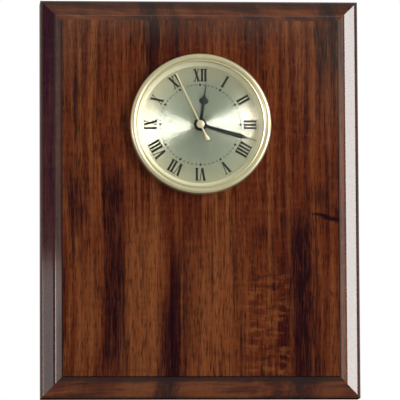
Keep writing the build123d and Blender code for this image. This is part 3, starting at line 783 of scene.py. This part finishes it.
bezelShape = {
    "bead": 2.1 * mm,
    "beadHeight": 3.5 * mm,
    "beadSweep": 152,
    "beadSteps": 22,
    "foot": 0.5 * mm,
    "footSteps": 4,
    "lipReach": 0.65 * mm,  # over the crystal
    "lipHeight": 4.7 * mm,
    "lipThick": 0.8 * mm,
    "lipRound": 0.35 * mm,
    "lipRoundIn": 0.45 * mm,
    "lipArc": (60, 120, 8),  # start and sweep in degrees, steps
    "skirt": 0.65 * mm,
    "skirtDepth": 4.5 * mm,
    "pocketFloor": 0.4 * mm,
    "fit": 0.05 * mm,
    "steps": 256,
    "smoothAngle": 40,
}


def bezelPiece():
    shape = bezelShape
    radius = (bezelHigh.x - bezelLow.x) / 2
    pocket = (lensHigh.x - lensLow.x) / 2 + shape["fit"]
    lip = pocket - shape["lipReach"]
    skirt = (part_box("case_cup")[1].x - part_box("case_cup")[0].x) / 2 + shape["fit"]
    lensTop = shape["lipHeight"] - shape["lipThick"]
    bead = (radius - shape["bead"], shape["beadHeight"])
    foot = (radius - shape["foot"], shape["foot"])
    lipRound = (lip + shape["lipRoundIn"], shape["lipHeight"] - shape["lipRound"])
    outline = [(skirt + shape["skirt"], 0), (radius - shape["foot"], 0)]
    outline += arc(foot, shape["foot"], -90, 90, shape["footSteps"])
    outline += arc(bead, shape["bead"], 0, shape["beadSweep"], shape["beadSteps"])
    outline += arc(lipRound, shape["lipRound"], *shape["lipArc"])
    outline += [
        (lip, lensTop),
        (pocket, lensTop),
        (pocket, shape["pocketFloor"]),
        (skirt, shape["pocketFloor"]),
        (skirt, -shape["skirtDepth"]),
        (skirt + shape["skirt"], -shape["skirtDepth"]),
        (skirt + shape["skirt"], 0),
    ]
    piece = turn("bezel_ring", outline, shape["steps"])
    smooth(piece, shape["smoothAngle"])
    place(piece, "insert", "gold_metal", finishes["gold_metal"], "bezel")


reflectorShape = {
    "sightInset": 1.2 * mm,  # over the dial
    # corners of the two fine steps: out from the sight edge, up from the dial
    "corners": (
        (0.35 * mm, 0.55 * mm),
        (0.75 * mm, 0.62 * mm),
        (1.25 * mm, 1.9 * mm),
        (1.6 * mm, 1.98 * mm),
    ),
    "rim": 0.4 * mm,
    "steps": 192,
    "edgeRound": 0.05 * mm,
    "roundSegments": 1,
    "roundAngle": 20,
}


def reflectorPiece():
    # A cone with two fine steps
    shape = reflectorShape
    outer = (ringHigh.x - ringLow.x) / 2
    bottom = faceY - ringHigh.y
    top = faceY - ringLow.y
    sight = (dialHigh.x - dialLow.x) / 2 - shape["sightInset"]
    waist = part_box("case_cup")[1].x
    outline = [(sight, bottom)]
    outline += [(sight + out, bottom + up) for out, up in shape["corners"]]
    outline += [
        (outer - shape["rim"], top),
        (outer, top),
        (outer, bezelShape["pocketFloor"]),
        (waist, bezelShape["pocketFloor"]),
        (waist, bottom),
        (sight, bottom),
    ]
    piece = turn("reflector_ring", outline, shape["steps"])
    softenEdges(piece, shape["edgeRound"], shape["roundSegments"], shape["roundAngle"])
    place(piece, "insert", "gold_metal", satinGold, "dial_ring")


bezelPiece()
reflectorPiece()
print("bezel made")


# Dial print: numbers of strokes and serifs, and a ring of dots

numbers = {
    "foot": 27.8 * mm,
    "height": 8.0 * mm,
    "thick": 1.42 * mm,
    "thin": 0.5 * mm,
    "serif": 0.36 * mm,
    "serifReach": 0.40 * mm,
    "ink": 0.03 * mm,
    "advance": {"I": 2.15 * mm, "V": 4.7 * mm, "X": 4.7 * mm},
    "lean": {"V": 1.45 * mm, "X": 2.5 * mm},
    "thinFoot": 0.2 * mm,  # where the thin stroke of a V starts
    "hours": ("XII", "I", "II", "III", "IIII", "V", "VI", "VII", "VIII", "IX", "X", "XI"),
}


def stroke(foot, head, width):
    # A flat bar from foot to head, trimmed level at both ends
    run = Vector((head[0] - foot[0], 0, head[1] - foot[1]))
    middle = Vector(((foot[0] + head[0]) / 2, 0, (foot[1] + head[1]) / 2))
    clearSelection()
    bpy.ops.mesh.primitive_plane_add(size=1, rotation=(math.pi / 2, 0, 0))
    bar = bpy.context.active_object
    settle(bar)
    lean = math.atan2(run.x, run.z)
    bar.scale = (width * math.cos(lean), 1, run.length + 2 * width)
    bar.rotation_euler = (0, lean, 0)
    bar.location = middle
    settle(bar)
    for end, side in ((foot[1], -1), (head[1], 1)):
        editAll()
        bpy.ops.mesh.bisect(plane_co=(0, 0, end), plane_no=(0, 0, side), clear_outer=True)
        objectMode()
    return bar


def serif(middle, z, width):
    half = width / 2 + numbers["serifReach"]
    low = z if z <= 0 else z - numbers["serif"]
    return stroke((middle, low), (middle, low + numbers["serif"]), 2 * half)


def letter(name):
    thick, thin, top = numbers["thick"], numbers["thin"], numbers["height"]
    thinSerif = thin * 2
    if name == "I":
        parts = [stroke((0, 0), (0, top), thick), serif(0, 0, thick), serif(0, top, thick)]
    elif name == "V":
        lean = numbers["lean"]["V"]
        parts = [stroke((0, 0), (-lean, top), thick), stroke((numbers["thinFoot"], 0), (lean, top), thin)]
        parts += [serif(-lean, top, thick), serif(lean, top, thinSerif)]
    else:
        lean = numbers["lean"]["X"] / 2
        parts = [stroke((lean, 0), (-lean, top), thick), stroke((-lean, 0), (lean, top), thin)]
        for side in (-1, 1):
            for z in (0, top):
                onThick = side * (z - top / 2) < 0
                parts.append(serif(side * lean, z, thick if onThick else thinSerif))
    return joinPieces(parts)


def copyTurned(source, shift, angle):
    pick(source)
    bpy.ops.object.duplicate()
    copied = bpy.context.active_object
    copied.location = shift
    settle(copied)
    copied.matrix_world = Matrix.Rotation(math.radians(angle), 4, "Y")
    settle(copied)
    return copied


def printOnDial(piece, name):
    # Lifts the flat print by its thickness and sets it on the dial
    pick(piece)
    piece.name = name
    editAll()
    bpy.ops.mesh.normals_make_consistent(inside=False)
    bpy.ops.mesh.extrude_region_move(TRANSFORM_OT_translate={"value": (0, -numbers["ink"], 0)})
    bpy.ops.mesh.select_all(action="SELECT")
    bpy.ops.mesh.normals_make_consistent(inside=False)
    objectMode()
    piece.location = (clockCentre.x, dialY, clockCentre.z)
    settle(piece)
    place(piece, "insert", "black_paint", printedBlack)


def numberPiece():
    letters = {name: letter(name) for name in "IVX"}
    copies = []
    hourTurn = 360 / len(numbers["hours"])
    for hour, text in enumerate(numbers["hours"]):
        advances = [numbers["advance"][name] for name in text]
        left = -sum(advances) / 2
        for name, advance in zip(text, advances):
            shift = (left + advance / 2, 0, numbers["foot"])
            copies.append(copyTurned(letters[name], shift, hourTurn * hour))
            left += advance
    for source in letters.values():
        pick(source)
        bpy.ops.object.delete()
    printOnDial(joinPieces(copies), "dial_numbers")


dots = {
    "ring": 25.6 * mm,
    "hourRadius": 0.72 * mm,
    "minuteRadius": 0.38 * mm,
    "sides": 14,
    "count": 60,
    "perHour": 5,
}


def dotPiece():
    sources = []
    for radius in (dots["hourRadius"], dots["minuteRadius"]):
        clearSelection()
        bpy.ops.mesh.primitive_circle_add(
            vertices=dots["sides"],
            radius=radius,
            fill_type="NGON",
            rotation=(math.pi / 2, 0, 0),
        )
        settle(bpy.context.active_object)
        sources.append(bpy.context.active_object)
    copies = []
    minuteTurn = 360 / dots["count"]
    for minute in range(dots["count"]):
        source = sources[0] if minute % dots["perHour"] == 0 else sources[1]
        copies.append(copyTurned(source, (0, 0, dots["ring"]), minuteTurn * minute))
    for source in sources:
        pick(source)
        bpy.ops.object.delete()
    printOnDial(joinPieces(copies), "dial_dots")


numberPiece()
dotPiece()
print("dial printed")


# Hands and the parts at the back: copies of the frame's own pieces, with their edges rounded

handEdges = {
    "hour_hand": ("hours", "black_paint", 0.08 * mm),
    "minute_hand": ("minutes", "black_paint", 0.08 * mm),
    "second_hand": ("seconds", "gold_metal", 0.10 * mm),
}
backEdges = {
    "case_cup": ("insert", "black_plastic", 0.25 * mm),
    "battery_door": ("hatch", "black_plastic", 0.12 * mm),
    "setting_knob": ("setting", "black_plastic", 0.20 * mm),
    "lens": ("insert", "crystal", 0.15 * mm),
}
edgeRounds = {"segments": 2, "angle": 35}
secondHand = {
    "roof": 0.17 * mm,
    "clear": 2.7 * mm,  # radius about the axis that the crease leaves out
    "dome": ((0.7 * mm, 0.10 * mm), (0.7 * mm, 0.05 * mm)),  # insets in and up
}


def roofBlade(hand):
    # Creases the blade along its middle and lifts the crease, then domes the cap
    level = tolerances["level"]
    forward = tolerances["forward"]
    places = [vertex.co - clockCentre for vertex in hand.data.vertices]
    along = max(places, key=lambda spot: math.hypot(spot.x, spot.z))
    along = Vector((along.x, 0, along.z)).normalized()
    side = Vector((-along.z, 0, along.x))
    bladeTop = min(spot.y for spot in places if math.hypot(spot.x, spot.z) > secondHand["clear"])
    pick(hand)
    editAll()
    bpy.ops.mesh.bisect(plane_co=clockCentre, plane_no=side)
    bpy.ops.mesh.select_mode(type="VERT")
    bpy.ops.mesh.select_all(action="DESELECT")
    objectMode()
    for vertex in hand.data.vertices:
        spot = vertex.co - clockCentre
        onCrease = max(abs(spot.dot(side)), abs(spot.y - bladeTop)) < level
        vertex.select = onCrease and math.hypot(spot.x, spot.z) > secondHand["clear"]
    bpy.ops.object.mode_set(mode="EDIT")
    bpy.ops.transform.translate(value=(0, -secondHand["roof"], 0))
    objectMode()
    capTop = min(vertex.co.y for vertex in hand.data.vertices)
    selectFaces(hand, lambda centre, normal: normal.y < forward and centre.y < capTop + level)
    for run, rise in secondHand["dome"]:
        bpy.ops.mesh.inset(thickness=run, depth=rise)
    objectMode()


for nodeName, (body, slotName, width) in {**handEdges, **backEdges}.items():
    rounded = copyNode(nodeName, nodeName + "_rounded")
    if nodeName == "second_hand":
        roofBlade(rounded)
    softenEdges(rounded, width, **edgeRounds)
    finish = handGold if nodeName == "second_hand" else finishes[slotName]
    place(rounded, body, slotName, finish, nodeName)
print("hands and back made")


# Studio

studio = {
    "floor": 1.8,
    "floorColour": (0.52, 0.52, 0.52, 1.0),
    "floorGlow": 0.85,
    "white": (1.0, 1.0, 1.0, 1.0),
    "roomDark": (0.03, 0.03, 0.06, 1.0),
    "roomBlue": (0.15, 0.14, 0.34, 1.0),
    "roomLight": (0.53, 0.61, 0.51, 1.0),
    "roomWarm": (0.70, 0.58, 0.41, 1.0),
    # where the room changes, along the axes of a unit direction
    "darkMiddle": (-0.30, 0.09),  # across and up
    "darkHalf": (0.48, 0.14),
    "darkFade": (0.75, 1.5),  # in half widths squared
    "behind": (-0.2, 0.1),
    "overhead": (0.60, 0.82),
    "overheadLight": 0.9,
    "blueFrom": (-0.38, -0.52),
    "warmFrom": (-0.60, -0.85),
    "backdropFrom": (-0.1, 0.25),
    "distance": 2.6,
    "cameraLeft": 4.0,  # degrees from straight ahead
    "cameraBelow": 6.0,
    "roll": 0.3,
    "sensor": 36.0,
    "reach": 50,
    "pixelsPerMm": 1.574,
    "imageSide": 400,
    "middle": (200.8, 197.8),  # where the middle of the board lies in the image
}


def makeFloor():
    # Seen from above it is pale and takes the shadow, and from below it is clear
    clearSelection()
    bpy.ops.mesh.primitive_plane_add(size=studio["floor"], location=(0, 0, boardLow.z))
    floor = bpy.context.active_object
    floor.name = "floor"
    finish = Finish("floor_pale", Base_Color=studio["floorColour"], Roughness=0.9)
    camera = finish.node("ShaderNodeLightPath", output="Is Camera Ray")
    white = finish.node("ShaderNodeEmission", None, {"Color": studio["white"]})
    shaded = Wire(finish, finish.shader.outputs[0])
    pale = finish.blend(camera * studio["floorGlow"], shaded, white)
    below = finish.node("ShaderNodeNewGeometry", output="Backfacing")
    clear = finish.node("ShaderNodeBsdfTransparent")
    finish.show("Material Output", finish.blend(below, pale, clear))
    floor.data.materials.append(finish.material)


def makeWorld():
    # White to the camera and, behind the object, in reflections; elsewhere a soft room with a dark front
    world = bpy.data.worlds.new("studio_world")
    world.use_nodes = True
    sky = Wiring(world.node_tree)
    x, y, z = sky.split(sky.node("ShaderNodeTexCoord", output="Generated"))
    across = (x - studio["darkMiddle"][0]) / studio["darkHalf"][0]
    up = (z - studio["darkMiddle"][1]) / studio["darkHalf"][1]
    aside = sky.ease(across * across + up * up, *studio["darkFade"])
    overhead = sky.ease(z, *studio["overhead"], 1.0, studio["overheadLight"])
    lit = aside.most(sky.ease(y, *studio["behind"])) * overhead
    dark = sky.mix(sky.ease(x, *studio["blueFrom"]), studio["roomDark"], studio["roomBlue"])
    warm = sky.mix(sky.ease(x, *studio["warmFrom"]), studio["roomLight"], studio["roomWarm"])
    room = sky.node("ShaderNodeBackground", None, {"Color": sky.mix(lit, dark, warm)})
    white = sky.node("ShaderNodeBackground", None, {"Color": studio["white"]})
    camera = sky.node("ShaderNodeLightPath", output="Is Camera Ray")
    mirrored = sky.node("ShaderNodeLightPath", output="Is Glossy Ray") * sky.ease(y, *studio["backdropFrom"])
    seen = camera.most(mirrored)
    sky.show("World Output", sky.blend(seen, room, white))
    bpy.context.scene.world = world


lamps = {
    # name: place, size, power, colour
    "right_window": ((1.29, -1.03, 0.45), (0.54, 0.90), 24.5, (1.0, 0.975, 0.95)),
    "left_card": ((-1.51, -0.75, 0.12), (0.36, 0.22), 1.9, (1.0, 0.955, 0.92)),
    "left_fill": ((-0.86, -1.41, 0.12), (0.92, 0.22), 1.4, (1.0, 0.965, 0.90)),
    "right_card": ((0.85, -1.70, 0.33), (0.43, 0.60), 0.9, (1.0, 0.98, 0.94)),
    "upper_card": ((0.94, -1.22, 0.84), (0.50, 0.36), 0.85, (1.0, 0.96, 0.88)),
    "left_strip": ((-0.67, -1.70, 0.40), (0.24, 0.42), 0.25, (1.0, 0.97, 0.93)),
}


def makeLamps():
    for name, (spot, size, power, colour) in lamps.items():
        bpy.ops.object.light_add(type="AREA", location=spot)
        lamp = bpy.context.active_object
        lamp.name = name
        lamp.data.shape = "RECTANGLE"
        lamp.data.size, lamp.data.size_y = size
        lamp.data.energy = power
        lamp.data.color = colour
        lamp.rotation_euler = (clockCentre - Vector(spot)).to_track_quat("-Z", "Y").to_euler()


def makeCamera():
    middle = Vector((0, faceY, (boardLow.z + boardHigh.z) / 2))
    left = math.tan(math.radians(studio["cameraLeft"]))
    below = math.tan(math.radians(studio["cameraBelow"]))
    spot = middle - Vector((left, 1, below)) * studio["distance"]
    bpy.ops.object.camera_add(location=spot)
    camera = bpy.context.active_object
    look = (middle - spot).normalized()
    roll = Matrix.Rotation(math.radians(studio["roll"]), 4, look)
    camera.rotation_euler = (roll @ look.to_track_quat("-Z", "Y").to_matrix().to_4x4()).to_euler()
    imageWidth = studio["imageSide"] / studio["pixelsPerMm"] * mm
    camera.data.sensor_width = studio["sensor"]
    camera.data.lens = studio["sensor"] * (middle - spot).length / imageWidth
    half = studio["imageSide"] / 2
    camera.data.shift_x = (half - studio["middle"][0]) / studio["imageSide"]
    camera.data.shift_y = (studio["middle"][1] - half) / studio["imageSide"]
    camera.data.clip_end = studio["reach"]
    bpy.context.scene.camera = camera


makeFloor()
makeWorld()
makeLamps()
makeCamera()
bpy.context.scene.view_settings.view_transform = "Standard"
print("studio made")
